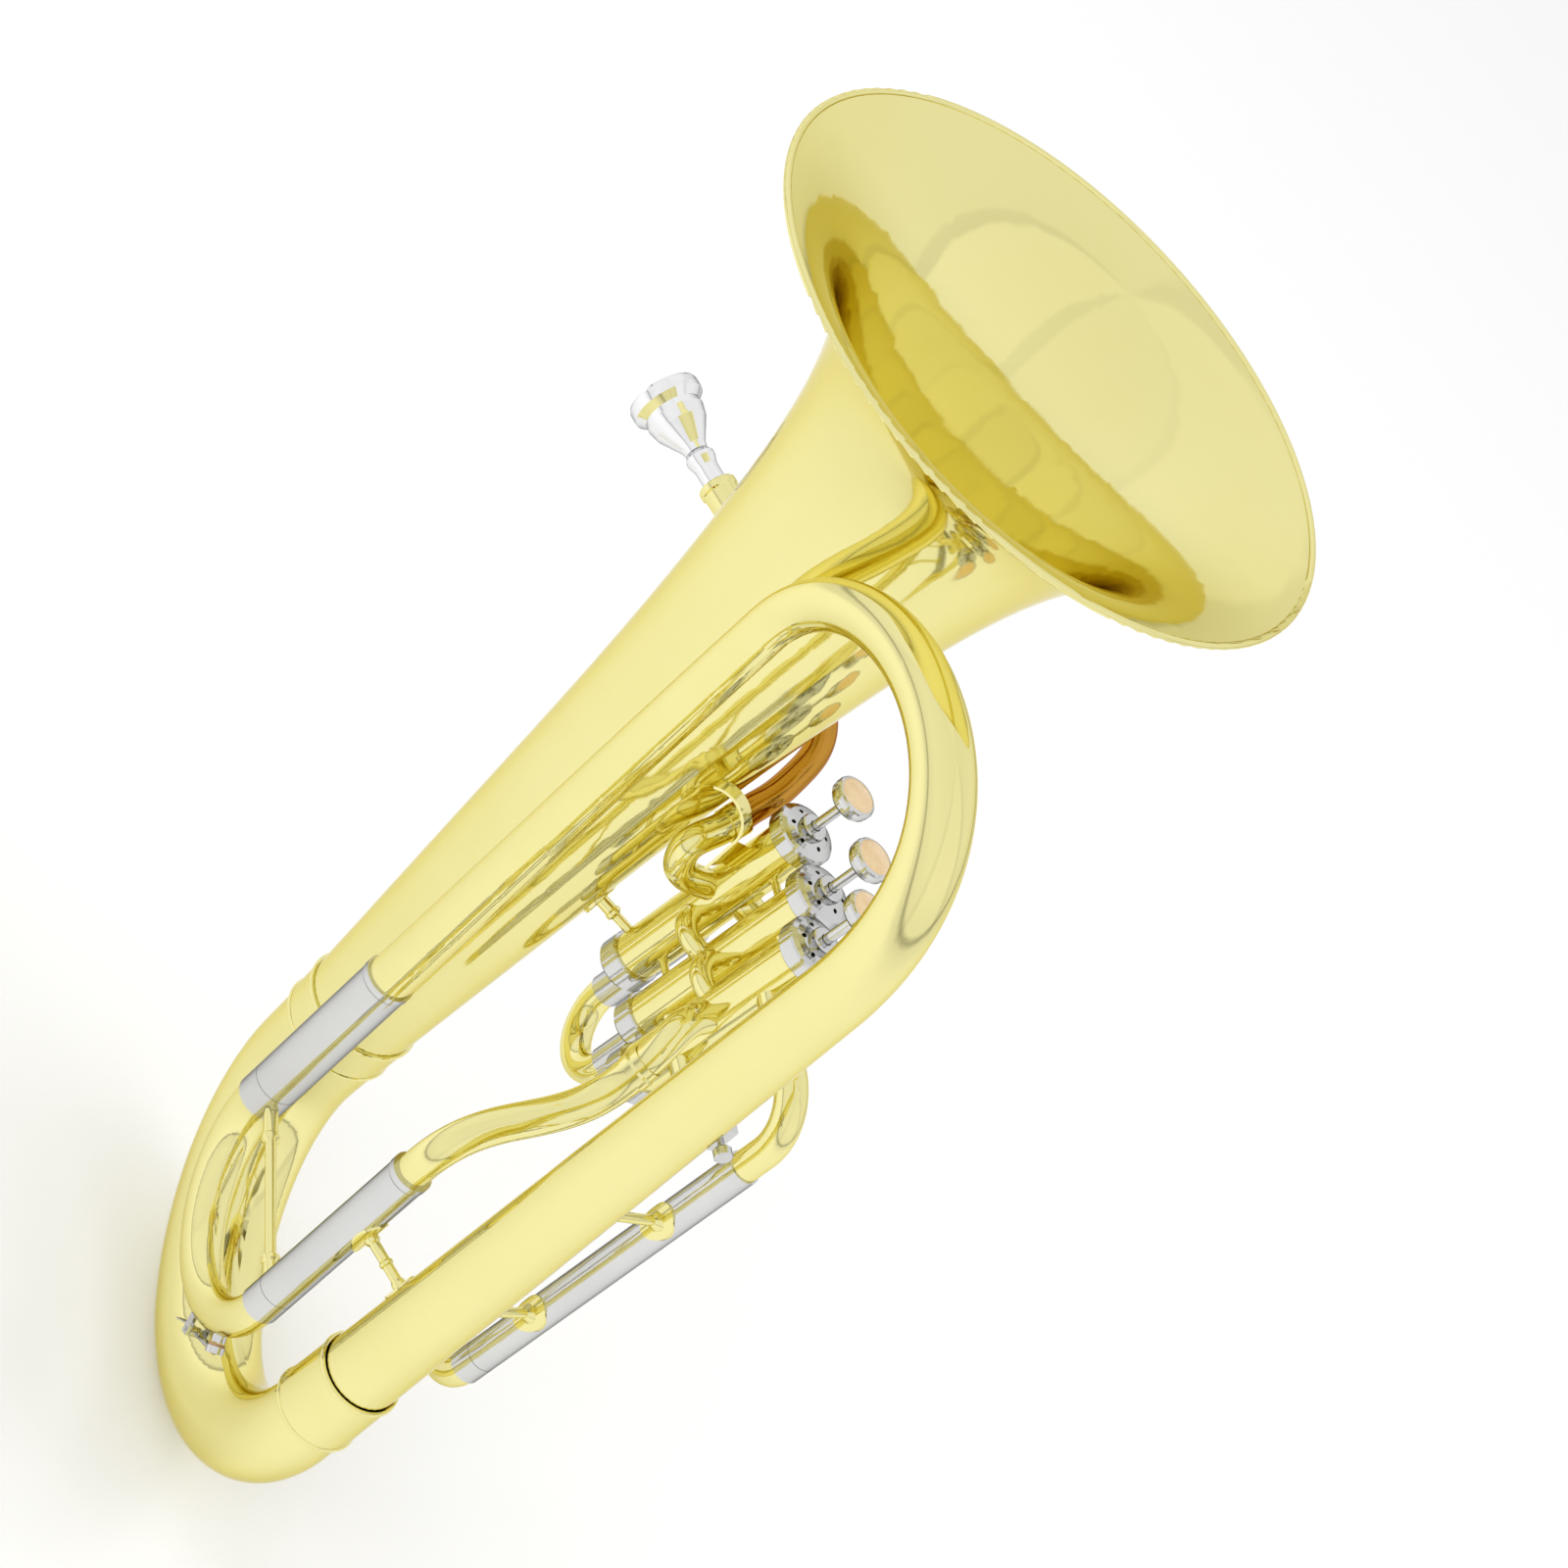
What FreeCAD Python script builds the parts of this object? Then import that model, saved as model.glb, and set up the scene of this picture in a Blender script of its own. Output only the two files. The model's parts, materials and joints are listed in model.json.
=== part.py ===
import FreeCAD, Part
import math
import os

# Three-valve euphonium. Millimetres, +Z up along the bell axis, bell opening upwards.
# The origin is the lowest point of the bottom bow; +X runs from the bell to the outer branch
# and -Y is the side of the main tuning slide.

Vec = FreeCAD.Vector

# ---------------------------------------------------------------- driving dimensions
BOW_HALF_SPAN = 102.9          # bell axis and outer branch each this far from the origin
BOW_CENTRE_Z = 106.6           # where both ends of the bottom bow turn vertical
BOW_DEPTH = 81.5               # centreline drop of the bottom bow
BOW_R_START, BOW_R_MID, BOW_R_END = 27.0, 25.1, 19.3
SHEET = 0.8                    # wall of the bell and the large branches

BELL_AXIS = Vec(-BOW_HALF_SPAN, 0, 0)
BELL_RIM_Z = 644.3
BELL_R = 140.0
BELL_TAIL_Z = 141.0
BELL_BEAD_R = 1.6              # rolled rim
# outside of the bell as (height, radius)
BELL_PROFILE = ((141.0, 28.0), (203.0, 31.6), (283.0, 36.2), (363.0, 40.9), (433.0, 46.4),
                (493.0, 53.2), (543.0, 61.6), (578.0, 71.6), (600.0, 82.0), (616.0, 94.0),
                (628.0, 108.0), (636.5, 122.5), (642.2, 137.6))
BELL_FERRULE = (131.0, 150.8)  # its two beads
BRANCH_FOOT = Vec(BOW_HALF_SPAN, 0, 111.9)
BRANCH_TOP = Vec(106.6, 6.0, 470.1)
BRANCH_R_TOP = 14.9
BRANCH_FERRULE = (119.5, 152.0)
BRANCH_JOINT_Z = 136.0
FERRULE_T = 0.7
BEAD_R = 0.9

TOP_BOW_REACH = 134.0
TOP_BOW_CONTROL = Vec(-44.9, -39.4, 579.0)
TOP_BOW_END = Vec(-47.7, -38.2, 497.1)
TOP_BOW_R_MID, TOP_BOW_R_END = 12.6, 10.3

# main tuning slide: leg A joins the small branch, leg B the valve outlet
SLIDE_A = Vec(-51.8, -35.4, 0)
SLIDE_B = Vec(62.0, -31.8, 0)
SLIDE_LOW_Z = 121.2            # where the bow begins
SLIDE_BOW_DEPTH = 49.0         # the bow is half an ellipse
SLIDE_SEAM_Z = 135.6           # ferrule below, sleeve above
SLEEVE_A_TOP_Z, SLEEVE_B_TOP_Z = 225.2, 238.2
SLIDE_A_R, SLIDE_B_R = 11.3, 8.7   # bore of the sleeves
SLEEVE_T = 0.8
OUTLET_R = 8.1                 # tube from leg B to the third valve
TUBE_T = 0.5
SLIDE_FIT = 0.05               # radial running clearance of slides and pistons
SEAM_GAP = 0.3

# valve block
VALVE_DIR = Vec(0.046, 0.063, 1.0)
VALVE_TOPS = (Vec(-59.5, 62.2, 406.1), Vec(-27.5, 68.8, 406.1), Vec(4.5, 63.1, 406.1))
CASING_R, CASING_T = 11.7, 1.0
CASING_TOP, CASING_LOW = -8.0, -124.0     # measured along the valve axis from the cap collar
CAP_R, CAP_SKIRT = 15.2, -14.0
BOTTOM_CAP_R, BOTTOM_CAP_LOW, BOTTOM_CAP_TOP = 13.3, -131.0, -119.0
PISTON_TOP, PISTON_LOW = -12.0, -86.0
VALVE_TRAVEL = 16.0
STEM_R = 2.4
FELT_TOP = -8.7                # underside of the top cap
BUTTON_LOW, BUTTON_TOP, BUTTON_R = 19.0, 27.0, 10.4
PEARL_R = 8.7
SPRING_R, SPRING_WIRE_R, SPRING_COILS, SPRING_FLATS = 6.6, 0.6, 8, 10
TUBE_R = 7.3                   # outside of the valve tubing
VALVE_SLEEVE_R = TUBE_R + SLEEVE_T
KNUCKLE_R = 5.0
KNUCKLE_BULGE = 18.5

THIRD_DIR = Vec(0.0287, 0.040, 1.0)
THIRD_NEAR = Vec(68.1, 65.1, 139.4)       # lower end of each leg
THIRD_FAR = Vec(30.4, 59.2, 139.4)
THIRD_FERRULE = 12.6           # length of the moving ferrules
THIRD_TOP_Z, THIRD_FAR_TOP_Z = 332.0, 290.0
FIRST_A = Vec(-91.0, 77.6, 234.5)
FIRST_B = Vec(-49.3, 77.6, 234.5)
FIRST_TOP_Z = 298.0
SECOND_DIR = Vec(0.18, 0.984, 0.0)
SECOND_Z = (318.0, 350.0)
SECOND_START, SECOND_END = 9.0, 36.0

MOUTHPIECE_DIR = Vec(-0.849, -0.527, -0.03)
RECEIVER_END = Vec(-199.5, 6.5, 430.5)
MOUTHPIECE_LEN = 72.0
BEND_TENSION = 0.42            # how far a tube carries on before it turns


# ---------------------------------------------------------------- helpers
def unit(v):
    w = Vec(v)
    w.normalize()
    return w


def at_height(point, direction, z):
    return point + direction * ((z - point.z) / direction.z)


def rod(start, end, radius):
    axis = end - start
    return Part.makeCylinder(radius, axis.Length, start, axis)


def turned(start, direction, profile):
    """Solid of revolution; profile is a closed list of (radius, distance along the axis)."""
    pts = [Vec(r, 0, t) for r, t in profile]
    face = Part.Face(Part.makePolygon(pts + [pts[0]]))
    solid = face.revolve(Vec(0, 0, 0), Vec(0, 0, 1), 360)
    solid.Placement = FreeCAD.Placement(start, FreeCAD.Rotation(Vec(0, 0, 1), direction))
    return solid


def collar(start, end, outer, inner):
    """Plain round sleeve between two points."""
    length = (end - start).Length
    return turned(start, end - start, [(inner, 0), (outer, 0), (outer, length), (inner, length)])


def bezier(p0, p1, p2, p3, count):
    pts = []
    for i in range(count + 1):
        t = i / count
        s = 1.0 - t
        pts.append(p0 * s ** 3 + p1 * (3 * s * s * t) + p2 * (3 * s * t * t) + p3 * t ** 3)
    return pts


def blend(a, b, t):
    return a + (b - a) * t


def loft_tube(points, radii, first_dir, last_dir):
    """Round solid through the points; the section is carried along without twisting."""
    tangents = [unit(first_dir)]
    for before, after in zip(points[:-2], points[2:]):
        tangents.append(unit(after - before))
    tangents.append(unit(last_dir))
    helper = Vec(0, 1, 0) if abs(tangents[0].y) < 0.8 else Vec(1, 0, 0)
    side = unit(tangents[0].cross(helper))
    wires = []
    for point, tangent, radius in zip(points, tangents, radii):
        side = unit(side - tangent * side.dot(tangent))
        up = tangent.cross(side)
        ring = Part.makeCircle(radius)
        ring.Placement = FreeCAD.Placement(point, FreeCAD.Rotation(side, up, tangent, "ZXY"))
        wires.append(Part.Wire([ring]))
    return Part.makeLoft(wires, True, False)


def hollow_loft(points, radii, wall, first_dir, last_dir):
    """Tapering tube; its bore runs a little past both ends."""
    outer = loft_tube(points, radii, first_dir, last_dir)
    longer = [points[0] - unit(first_dir) * 0.5] + list(points[1:-1])
    longer.append(points[-1] + unit(last_dir) * 0.5)
    return outer.cut(loft_tube(longer, [r - wall for r in radii], first_dir, last_dir))


def path(start, heading, *steps):
    """Edges that run on smoothly: a number is a straight length, (end, direction) a bend."""
    edges = []
    here, heading = start, unit(heading)
    for step in steps:
        if isinstance(step, tuple):
            end, end_dir = step[0], unit(step[1])
            reach = (end - here).Length * BEND_TENSION
            curve = Part.BezierCurve()
            curve.setPoles([here, here + heading * reach, end - end_dir * reach, end])
            edges.append(curve.toShape())
            heading = end_dir
        else:
            end = here + heading * step
            edges.append(Part.makeLine(here, end))
        here = end
    return edges


def swept(edges, radius):
    start = edges[0].valueAt(edges[0].FirstParameter)
    heading = edges[0].tangentAt(edges[0].FirstParameter)
    ring = Part.Wire([Part.makeCircle(radius, start, heading)])
    return Part.Wire(edges).makePipeShell([ring], True, False)


def tube(edges, r, wall):
    """Tube of one diameter along joined edges, and the solid that fills its bore."""
    bore = swept(edges, r - wall)
    return swept(edges, r).cut(bore), bore


def tapered(r0, r1, count):
    return [blend(r0, r1, i / (count - 1)) for i in range(count)]


def u_bow(a, b, down, r, wall, legs=0.0):
    """Half-turn of plain tube hanging from a and b, with optional straight legs upwards."""
    drop = unit(down)
    tip = (a + b) * 0.5 + drop * ((b - a).Length / 2)
    edges = [Part.Arc(a, tip, b).toShape()]
    if legs:
        edges.insert(0, Part.makeLine(a - drop * legs, a))
        edges.append(Part.makeLine(b, b - drop * legs))
    return tube(edges, r, wall)[0]


def level_with(a, b, direction):
    """b moved along direction until it stands square across from a."""
    d = unit(direction)
    return b - d * (b - a).dot(d)


def save(name, shape):
    if isinstance(shape, (list, tuple)):
        shape = Part.makeCompound(list(shape))
    shape.exportStep(os.path.join("parts", name + ".step"))


# ---------------------------------------------------------------- bell, bows and branches
def build_bell():
    outer = [Vec(r, 0, z) for z, r in BELL_PROFILE]
    inner = []
    for i, p in enumerate(outer):
        d = outer[min(i + 1, len(outer) - 1)] - outer[max(i - 1, 0)]
        n = unit(Vec(-d.z, 0, d.x))
        inner.append(p + n * SHEET)
    inner[0].z = outer[0].z
    curves = []
    for pts in (outer, inner):
        spline = Part.BSplineCurve()
        spline.interpolate(pts)
        curves.append(spline.toShape())
    foot = Part.makeLine(outer[0], inner[0])
    lip = Part.makeLine(outer[-1], inner[-1])
    face = Part.Face(Part.Wire(Part.__sortEdges__([curves[0], lip, curves[1], foot])))
    bell = face.revolve(Vec(0, 0, 0), Vec(0, 0, 1), 360)
    roll = Part.makeTorus(BELL_R - BELL_BEAD_R, BELL_BEAD_R, Vec(0, 0, BELL_RIM_Z - BELL_BEAD_R))
    bell = bell.fuse(roll).removeSplitter()
    bell.translate(BELL_AXIS)
    return bell


def beaded_ferrule(axis_foot, axis_dir, low_z, high_z, r_low, r_high):
    """Ring over a joint, with a raised bead at each end."""
    low = at_height(axis_foot, axis_dir, low_z - 1.5)
    length = (high_z - low_z + 3.0) / unit(axis_dir).z
    slope = (r_high - r_low) / length
    t = FERRULE_T
    b = BEAD_R
    profile = [(r_low, 0), (r_low + t, 0)]
    for centre in (1.5, length - 1.5):
        r = r_low + slope * centre + t
        for k in range(5):
            angle = math.pi * k / 4
            profile.append((r + b * 0.8 * math.sin(angle), centre - b * math.cos(angle)))
    profile += [(r_high + t, length), (r_high, length)]
    return turned(low, axis_dir, profile)


def bow_points():
    pts = [Vec(-BOW_HALF_SPAN, 0, z) for z in (BELL_TAIL_Z, 129.0, 118.0)]
    radii = [28.0, 27.6, 27.3]
    steps = 26
    for i in range(steps + 1):
        a = math.pi * i / steps
        rise = 0.0 if i < steps else BRANCH_FOOT.z - BOW_CENTRE_Z
        drop = BOW_DEPTH if a < math.pi / 2 else BOW_DEPTH + BRANCH_FOOT.z - BOW_CENTRE_Z
        base = BOW_CENTRE_Z if a < math.pi / 2 else BRANCH_FOOT.z
        z = base - drop * math.sin(a) if i < steps else BOW_CENTRE_Z + rise
        pts.append(Vec(-BOW_HALF_SPAN * math.cos(a), 0, z))
        half = i / steps
        if half < 0.5:
            radii.append(blend(BOW_R_START, BOW_R_MID, half * 2))
        else:
            radii.append(blend(BOW_R_MID, BOW_R_END, half * 2 - 1))
    branch_dir = BRANCH_TOP - BRANCH_FOOT
    for z in (123.0, BRANCH_JOINT_Z):
        pts.append(at_height(BRANCH_FOOT, branch_dir, z))
        radii.append(branch_radius(z))
    return pts, radii


def branch_radius(z):
    t = (z - BRANCH_FOOT.z) / (BRANCH_TOP.z - BRANCH_FOOT.z)
    return blend(BOW_R_END, BRANCH_R_TOP, t)


def build_outer_branch():
    axis = BRANCH_TOP - BRANCH_FOOT
    foot = at_height(BRANCH_FOOT, axis, BRANCH_JOINT_Z)
    length = (BRANCH_TOP - foot).Length
    r0 = branch_radius(BRANCH_JOINT_Z)
    r1 = BRANCH_R_TOP
    return turned(foot, axis, [(r0 - SHEET, 0), (r0, 0), (r1, length), (r1 - SHEET, length)])


def build_top_bow():
    rise = BRANCH_TOP - BRANCH_FOOT
    first = BRANCH_TOP + unit(rise) * TOP_BOW_REACH
    pts = bezier(BRANCH_TOP, first, TOP_BOW_CONTROL, TOP_BOW_END, 26)
    radii = []
    for i in range(27):
        t = i / 26
        if t < 0.5:
            radii.append(blend(BRANCH_R_TOP, TOP_BOW_R_MID, t * 2))
        else:
            radii.append(blend(TOP_BOW_R_MID, TOP_BOW_R_END, t * 2 - 1))
    return hollow_loft(pts, radii, SHEET, rise, TOP_BOW_END - TOP_BOW_CONTROL)


def build_small_branch():
    leave = unit(TOP_BOW_END - TOP_BOW_CONTROL)
    foot = SLIDE_A + Vec(0, 0, SLEEVE_A_TOP_Z + 6.0)
    reach = (foot - TOP_BOW_END).Length * 0.33
    pts = bezier(TOP_BOW_END, TOP_BOW_END + leave * reach, foot + Vec(0, 0, reach), foot, 12)
    pts += [SLIDE_A + Vec(0, 0, SLEEVE_A_TOP_Z - drop) for drop in (0.0, 10.0)]
    r_end = SLIDE_A_R - 0.1
    radii = tapered(TOP_BOW_R_END, r_end, 13) + [r_end, r_end]
    return hollow_loft(pts, radii, SHEET, leave, Vec(0, 0, -1))


bell = build_bell()
bow_run, bow_radii = bow_points()
branch_axis = BRANCH_TOP - BRANCH_FOOT
bottom_bow = hollow_loft(bow_run, bow_radii, SHEET, Vec(0, 0, -1), branch_axis)
outer_branch = build_outer_branch()
bell_ferrule = beaded_ferrule(BELL_AXIS, Vec(0, 0, 1), *BELL_FERRULE, 27.85, 28.75)
branch_ferrule = beaded_ferrule(BRANCH_FOOT, branch_axis, *BRANCH_FERRULE, 19.99, 19.44)
top_bow = build_top_bow()
small_branch = build_small_branch()


# ---------------------------------------------------------------- main tuning slide
def slide_sleeve(foot, top_z, bore_r, neck_r):
    """Outer tube of a leg; its top 12 mm close in on the tube soldered into it."""
    r = bore_r + SLEEVE_T
    length = top_z - SLIDE_SEAM_Z
    profile = [(bore_r, 0), (r, 0), (r, length - 4.0), (r + 0.35, length - 3.4), (r + 0.35, length),
               (neck_r, length), (neck_r, length - 12.0), (bore_r, length - 12.0)]
    return turned(foot + Vec(0, 0, SLIDE_SEAM_Z), Vec(0, 0, 1), profile)


def slide_leg(foot, bore_r, top_z):
    """Inner tube of a leg with the ferrule that closes against the sleeve."""
    r = bore_r - SLIDE_FIT
    length = top_z - SLIDE_LOW_Z
    step = SLIDE_SEAM_Z - SEAM_GAP - SLIDE_LOW_Z
    profile = [(r - TUBE_T, 0), (bore_r + SLEEVE_T, 0), (bore_r + SLEEVE_T, step), (r, step),
               (r, length), (r - TUBE_T, length)]
    return turned(foot + Vec(0, 0, SLIDE_LOW_Z), Vec(0, 0, 1), profile)


def tuning_bow_run():
    centre = (SLIDE_A + SLIDE_B) * 0.5 + Vec(0, 0, SLIDE_LOW_Z)
    half = (SLIDE_B - SLIDE_A) * 0.5
    pts = []
    steps = 24
    for i in range(steps + 1):
        a = math.pi * i / steps
        pts.append(centre + half * math.cos(a) - Vec(0, 0, SLIDE_BOW_DEPTH * math.sin(a)))
    return pts


upper_slide_sleeve = slide_sleeve(SLIDE_A, SLEEVE_A_TOP_Z, SLIDE_A_R, SLIDE_A_R - 0.05)
lower_slide_sleeve = slide_sleeve(SLIDE_B, SLEEVE_B_TOP_Z, SLIDE_B_R, OUTLET_R)
tuning_legs = [slide_leg(SLIDE_A, SLIDE_A_R, SLEEVE_A_TOP_Z - 14.0),
               slide_leg(SLIDE_B, SLIDE_B_R, SLEEVE_B_TOP_Z - 14.0)]
tuning_run = tuning_bow_run()
tuning_radii = tapered(SLIDE_B_R, SLIDE_A_R, len(tuning_run))
TUNING_ENDS = (Vec(0, 0, -1), Vec(0, 0, 1))
tuning_bow = hollow_loft(tuning_run, tuning_radii, SHEET, *TUNING_ENDS)

BRACE_Z = 129.0
BRACE_R = 2.6


def build_tuning_brace():
    a = SLIDE_A + Vec(0, 0, BRACE_Z)
    b = SLIDE_B + Vec(0, 0, BRACE_Z)
    d = unit(b - a)
    start = a + d * 9.0
    end = b - d * 6.0
    length = (end - start).Length
    wide = BRACE_R + 0.9
    bead = BRACE_R + 1.7
    profile = [(0, 0), (wide, 0), (wide, 17.0), (bead, 18.0), (bead, 20.0), (BRACE_R, 21.5),
               (BRACE_R, length - 16.0), (bead, length - 14.5), (bead, length - 12.5),
               (wide, length - 11.5), (wide, length), (0, length)]
    brace = turned(start, d, profile)
    for foot, r in ((SLIDE_A, SLIDE_A_R), (SLIDE_B, SLIDE_B_R)):
        brace = brace.cut(Part.makeCylinder(r + SLEEVE_T, 40.0, foot + Vec(0, 0, 110.0)))
    return brace


tuning_brace = build_tuning_brace()

# water key on the outside of the tuning bow, between its bottom and leg B
KEY_ANGLE = math.radians(34.0)
HINGE_ANGLE = math.radians(54.0)
KEY_CENTRE = (SLIDE_A + SLIDE_B) * 0.5 + Vec(0, 0, SLIDE_LOW_Z)
KEY_SIDE = unit(Vec(0, 0, 1).cross(SLIDE_B - SLIDE_A))
KEY_HALF = (SLIDE_B - SLIDE_A) * 0.5
HINGE_R = 1.0


def key_out(angle):
    """Outward normal of the bow's ellipse; the angle grows from leg B towards the bottom."""
    across = SLIDE_BOW_DEPTH * math.cos(angle)
    return unit(unit(KEY_HALF) * across - Vec(0, 0, KEY_HALF.Length * math.sin(angle)))


def key_place(angle, out):
    """Point in the bow's plane, a distance out from its centreline."""
    on_line = KEY_HALF * math.cos(angle) - Vec(0, 0, SLIDE_BOW_DEPTH * math.sin(angle))
    return KEY_CENTRE + on_line + key_out(angle) * out


def build_water_key():
    solid_bow = loft_tube(tuning_run, tuning_radii, *TUNING_ENDS)
    out = key_out(KEY_ANGLE)
    nipple = rod(key_place(KEY_ANGLE, 7.0), key_place(KEY_ANGLE, 12.2), 3.2)
    nipple = nipple.cut(rod(key_place(KEY_ANGLE, 4.0), key_place(KEY_ANGLE, 13.0), 1.8))
    nipple = nipple.cut(solid_bow)
    hinge = key_place(HINGE_ANGLE, 15.0)
    hinge_out = key_out(HINGE_ANGLE)
    along = unit(KEY_SIDE.cross(hinge_out))
    posts = []
    for s in (-1, 1):
        foot = key_place(HINGE_ANGLE, 6.0) + KEY_SIDE * (s * 5.2)
        lug = Part.makeBox(1.6, 5.0, 11.0)
        lug.translate(Vec(-0.8, -2.5, 0))
        rot = FreeCAD.Rotation(KEY_SIDE, along, hinge_out, "ZXY")
        lug.Placement = FreeCAD.Placement(foot, rot).multiply(lug.Placement)
        posts.append(lug)
    saddle = posts[0].fuse(posts[1]).fuse(rod(hinge - KEY_SIDE * 6.6, hinge + KEY_SIDE * 6.6, HINGE_R))
    saddle = saddle.cut(solid_bow)
    barrel = rod(hinge - KEY_SIDE * 4.0, hinge + KEY_SIDE * 1.4, 2.4)
    cup_top = key_place(KEY_ANGLE, 16.6)
    arm = Part.makeLoft([arm_section(hinge, along, hinge_out, 1.7, 1.4),
                         arm_section(cup_top, unit(KEY_SIDE.cross(out)), out, 1.8, 1.1)], True)
    cup = rod(key_place(KEY_ANGLE, 14.0), key_place(KEY_ANGLE, 17.2), 4.2)
    tip = hinge + along * 17.0 + hinge_out * 2.5
    mid = hinge + along * 8.0 + hinge_out * 0.6
    touch = Part.makeLoft([arm_section(hinge, along, hinge_out, 1.7, 1.4),
                           arm_section(mid, along, hinge_out, 2.6, 0.9),
                           arm_section(tip, along, hinge_out, 4.2, 0.7)], True)
    lever = barrel.fuse(arm).fuse(cup).fuse(touch)
    lever = lever.cut(rod(hinge - KEY_SIDE * 8.0, hinge + KEY_SIDE * 8.0, HINGE_R + SLIDE_FIT))
    cork = rod(key_place(KEY_ANGLE, 12.5), key_place(KEY_ANGLE, 14.0), 3.8)
    return nipple, saddle, lever, cork, key_spring(hinge, hinge_out)


def key_spring(hinge, out):
    """Torsion coil on the hinge pin with a tail towards the bow."""
    wire = 0.32
    coil_r = 1.75
    helix = Part.makeHelix(0.8, 1.6, coil_r)
    section = Part.Wire([Part.makeCircle(wire, Vec(coil_r, 0, 0), Vec(0, 1, 0))])
    coil = Part.Wire(helix).makePipeShell([section], True, True)
    tail = rod(Vec(coil_r, 0, 0), Vec(coil_r, -5.0, 0), wire)
    coil = coil.fuse(tail)
    rot = FreeCAD.Rotation(out.cross(KEY_SIDE), out, KEY_SIDE, "ZXY")
    coil.Placement = FreeCAD.Placement(hinge + KEY_SIDE * 2.4, rot)
    return coil


def arm_section(centre, along, out, half_width, half_height):
    """Rounded-off rectangle across the lever."""
    corners = []
    for i in range(12):
        a = 2 * math.pi * (i + 0.5) / 12
        shift = KEY_SIDE * (half_width * math.cos(a) * 1.05) + out * (half_height * math.sin(a) * 1.05)
        corners.append(centre + shift)
    return Part.makePolygon(corners + [corners[0]])


key_nipple, key_saddle, key_lever, key_cork, key_coil = build_water_key()
tuning_bow = tuning_bow.cut(rod(key_place(KEY_ANGLE, 4.0), key_place(KEY_ANGLE, 13.0), 1.8))


# ---------------------------------------------------------------- valves
def valve_point(i, t):
    return VALVE_TOPS[i] + unit(VALVE_DIR) * t


def valve_at_z(i, z):
    return at_height(VALVE_TOPS[i], VALVE_DIR, z)


def casing_body(i, grow=0.0):
    return rod(valve_point(i, CASING_LOW), valve_point(i, CASING_TOP), CASING_R + grow)


def into_valve(i, z, start, start_dir, straight, run_in, approach=None):
    """Tube that leaves a sleeve, turns and runs level into valve i at height z."""
    axis = valve_at_z(i, z)
    d = axis - start if approach is None else approach
    d = unit(Vec(d.x, d.y, 0))
    edges = path(start, start_dir, straight, (axis - d * run_in, d), run_in - 4.0)
    pipe, bore = tube(edges, TUBE_R, TUBE_T)
    return pipe.cut(casing_body(i)), bore


FIRST_UP = unit(VALVE_DIR)
THIRD_UP = unit(THIRD_DIR)
first_low = [FIRST_A, level_with(FIRST_A, FIRST_B, VALVE_DIR)]
third_low = [THIRD_NEAR, level_with(THIRD_NEAR, THIRD_FAR, THIRD_DIR)]
first_tops = [at_height(p, VALVE_DIR, FIRST_TOP_Z) for p in first_low]
third_tops = [at_height(third_low[0], THIRD_DIR, THIRD_TOP_Z),
              at_height(third_low[1], THIRD_DIR, THIRD_FAR_TOP_Z)]
SOCKET = 6.0                   # how deep a tube sits in the end of a sleeve

first_branches = [into_valve(0, 322.0, first_tops[0] - FIRST_UP * SOCKET, VALVE_DIR, 8.0, 14.0),
                  into_valve(0, 350.0, first_tops[1] - FIRST_UP * SOCKET, VALVE_DIR, 26.0, 14.0)]
third_branches = [into_valve(2, 370.0, third_tops[0] - THIRD_UP * SOCKET, THIRD_DIR, 18.0, 46.0),
                  into_valve(2, 312.0, third_tops[1] - THIRD_UP * SOCKET, THIRD_DIR, 7.0, 17.0)]

OUTLET_START = SLIDE_B + Vec(0, 0, SLEEVE_B_TOP_Z - 11.0)
OUTLET_MID, OUTLET_MID_DIR = Vec(48.0, -4.8, 276.8), Vec(-8.6, 30.7, 21.5)
OUTLET_END, OUTLET_END_DIR = Vec(30.1, 29.9, 312.4), Vec(-0.26, 0.245, 0.934)
outlet_edges = path(OUTLET_START, Vec(0, 0, 1), 14.0, (OUTLET_MID, OUTLET_MID_DIR),
                    (OUTLET_END, OUTLET_END_DIR), 3.0)
outlet_tube = tube(outlet_edges, OUTLET_R, TUBE_T)[0]
elbow_start = OUTLET_END + unit(OUTLET_END_DIR) * 3.0
outlet_elbow, elbow_bore = into_valve(2, 338.5, elbow_start, OUTLET_END_DIR, 4.0, 15.0,
                                      Vec(-0.55, 0.835, 0))


def joint_ferrule(joint, direction, r_before, r_after):
    """Short sleeve over the joint of two straight tube ends."""
    w = 0.75
    profile = [(r_before + 0.05, -3.0), (r_before + w, -3.0), (r_before + w, 1.0), (r_after + w, 2.4),
               (r_after + w, 6.0), (r_after + 0.05, 6.0), (r_after + 0.05, 0.4), (r_before + 0.05, 0)]
    return turned(joint, direction, profile)


outlet_ferrule = joint_ferrule(elbow_start, OUTLET_END_DIR, OUTLET_R, TUBE_R)


def build_knuckle(i, j, z):
    """Short bowed tube between neighbouring valves, on the tuning-slide side."""
    a = valve_at_z(i, z)
    b = valve_at_z(j, z)
    row = unit(b - a)
    front = unit(row.cross(Vec(0, 0, 1)))
    start = a + row * 3.0
    end = b - row * 3.0
    curve = Part.BezierCurve()
    out = front * KNUCKLE_BULGE
    curve.setPoles([start, start + out + row * 2.0, end + out - row * 2.0, end])
    pipe, bore = tube([curve.toShape()], KNUCKLE_R, TUBE_T)
    return pipe.cut(casing_body(i)).cut(casing_body(j)), bore


knuckles = [build_knuckle(0, 1, 333.0), build_knuckle(1, 2, 340.0)]


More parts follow.
